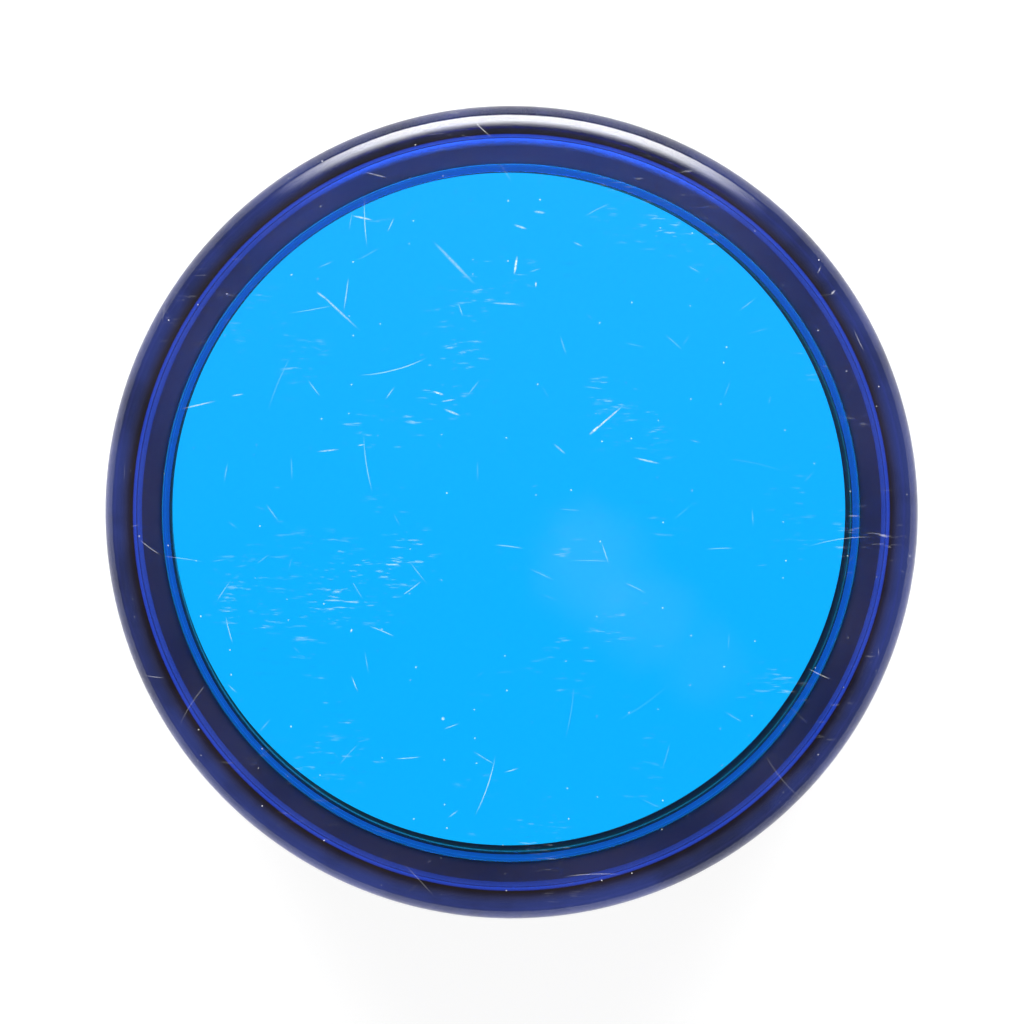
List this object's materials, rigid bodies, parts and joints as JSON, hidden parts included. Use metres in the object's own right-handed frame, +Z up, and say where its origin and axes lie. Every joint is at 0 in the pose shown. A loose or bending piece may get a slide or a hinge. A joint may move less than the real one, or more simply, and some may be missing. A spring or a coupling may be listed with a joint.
{
  "type": "quiz buzzer",
  "caption": "Round press-top answer buzzer: clear blue cap over a cyan disc, sprung on guide pins above a black battery base with speaker grille and side switch.",
  "frame": {"origin": "middle of the plane the four feet stand on", "axes": "+Z up through the cap, +Y towards the speaker, +X towards the power switch"},
  "size_m": [0.09, 0.09, 0.039],
  "materials": {
    "clear_blue": "clear tinted, polished, finely scratched",
    "cyan_disc": "smooth, evenly coloured",
    "black_shell": "fine moulded texture",
    "zinc_screw": "zinc plated",
    "carbon": "matt",
    "black_rubber": "matt",
    "spring_steel": "drawn wire",
    "silicone": "translucent matt",
    "green_board": "solder mask",
    "black_epoxy": "epoxy",
    "clear_led": "clear epoxy",
    "tan_ceramic": "matt",
    "capacitor_sleeve": "shrink sleeve",
    "speaker_steel": "zinc plated",
    "speaker_film": "thin film",
    "cell_wrap": "printed wrap without marks",
    "nickel_contact": "nickel plated",
    "grey_foam": "foam",
    "switch_plastic": "moulded",
    "lead_jacket": "soft jacket"
  },
  "bodies": {
    "base": {"base_tub": "black_shell", "deck": "black_shell", "housing_screws": "zinc_screw", "board_screws": "zinc_screw", "speaker_screws": "zinc_screw", "rubber_feet": "black_rubber", "return_springs": "spring_steel", "contact_springs": "spring_steel", "contact_dome": "silicone", "circuit_board": "green_board", "sound_chip": "black_epoxy", "chip_resistors": "black_epoxy", "transistors": "black_epoxy", "light_leds": "clear_led", "chip_capacitors": "tan_ceramic", "electrolytic_capacitor": "capacitor_sleeve", "speaker_frame": "speaker_steel", "speaker_magnet": "speaker_steel", "speaker_cone": "speaker_film", "battery_cells": "cell_wrap", "jumper_contact": "nickel_contact", "output_contacts": "nickel_contact", "switch_can": "nickel_contact", "speaker_leads": "lead_jacket", "switch_leads": "lead_jacket", "battery_lead": "lead_jacket"},
    "button": {"push_cap": "clear_blue", "diffuser_disc": "cyan_disc", "cap_carrier": "black_shell", "pin_washers": "zinc_screw", "pin_screws": "zinc_screw", "contact_pill": "carbon"},
    "power_knob": {"switch_slider": "switch_plastic", "switch_knob": "switch_plastic"},
    "battery_door": {"battery_door": "black_shell", "door_pad": "grey_foam", "door_screw": "zinc_screw"}
  },
  "joints": [
    {"name": "button_press", "type": "slide", "parent": "base", "child": "button", "axis": [0, 0, -1], "range_m": [0, 0.003], "stiffness_N_per_m": 700, "springref_m": -0.004, "deforming": ["return_springs", "contact_dome"]},
    {"name": "power_switch", "type": "slide", "parent": "base", "child": "power_knob", "axis": [0, 1, 0], "range_m": [0, 0.004]},
    {"name": "door_hinge", "type": "hinge", "parent": "base", "child": "battery_door", "pos_m": [-0.0266, -0.0148, 0.0024], "axis": [0, 1, 0], "range_deg": [0, 80]}
  ]
}
